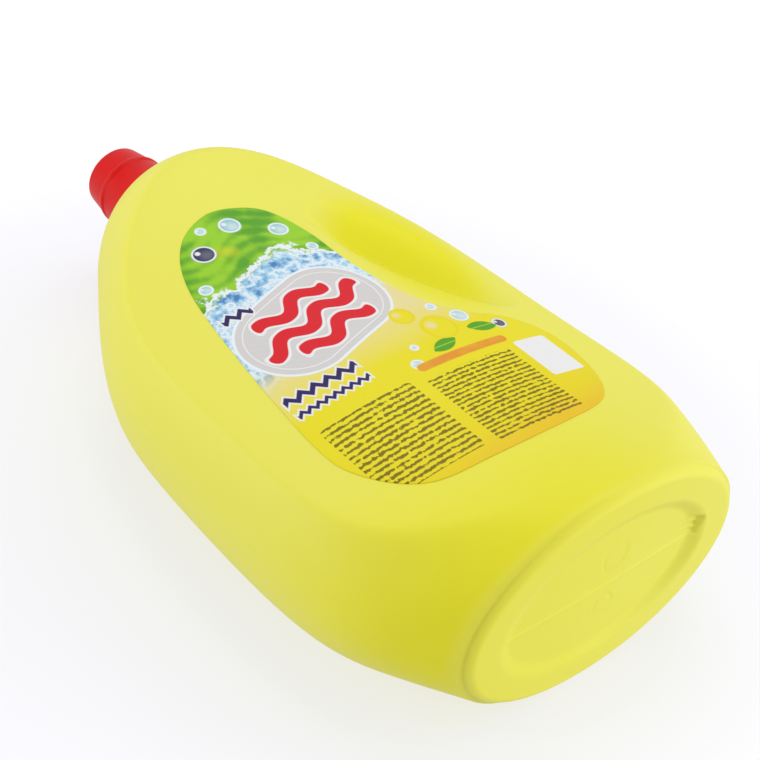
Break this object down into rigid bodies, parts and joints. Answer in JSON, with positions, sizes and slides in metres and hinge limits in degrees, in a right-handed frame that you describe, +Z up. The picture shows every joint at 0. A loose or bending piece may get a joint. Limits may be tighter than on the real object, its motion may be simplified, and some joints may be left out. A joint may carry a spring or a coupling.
{
  "type": "dish soap bottle",
  "caption": "Large jug-style dish soap bottle, blow-moulded, with a finger grip pressed into one shoulder, a hollow base, a tapered screw cap and a plain printed front label.",
  "frame": {"origin": "on the plane that the bottle stands on, under the middle of its overall width and depth", "axes": "+Z up through the neck, -Y out of the front panel with the label, +X towards the side with the finger grip"},
  "size_m": [0.1863, 0.0958, 0.33],
  "materials": {
    "yellow_body": "satin blow-moulded polyethylene",
    "red_cap": "satin injection-moulded plastic",
    "liner_foam": "matt foam",
    "label_film": "thin glossy printed film"
  },
  "bodies": {
    "bottle": {"bottle": "yellow_body", "neck": "yellow_body", "front_label": "label_film"},
    "liner": {"cap_liner": "liner_foam"},
    "cap": {"screw_cap": "red_cap"}
  },
  "joints": [
    {"name": "cap_rise", "type": "slide", "parent": "bottle", "child": "liner", "axis": [0, 0, 1], "range_m": [0, 0.0053]},
    {"name": "cap_turn", "type": "hinge", "parent": "liner", "child": "cap", "pos_m": [0.0055, 0, 0.31], "axis": [0, 0, 1], "range_deg": [0, 450]}
  ],
  "couplings": [
    {"joint": "cap_rise", "follows": "cap_turn", "m_per_rad": 0.00067323}
  ]
}
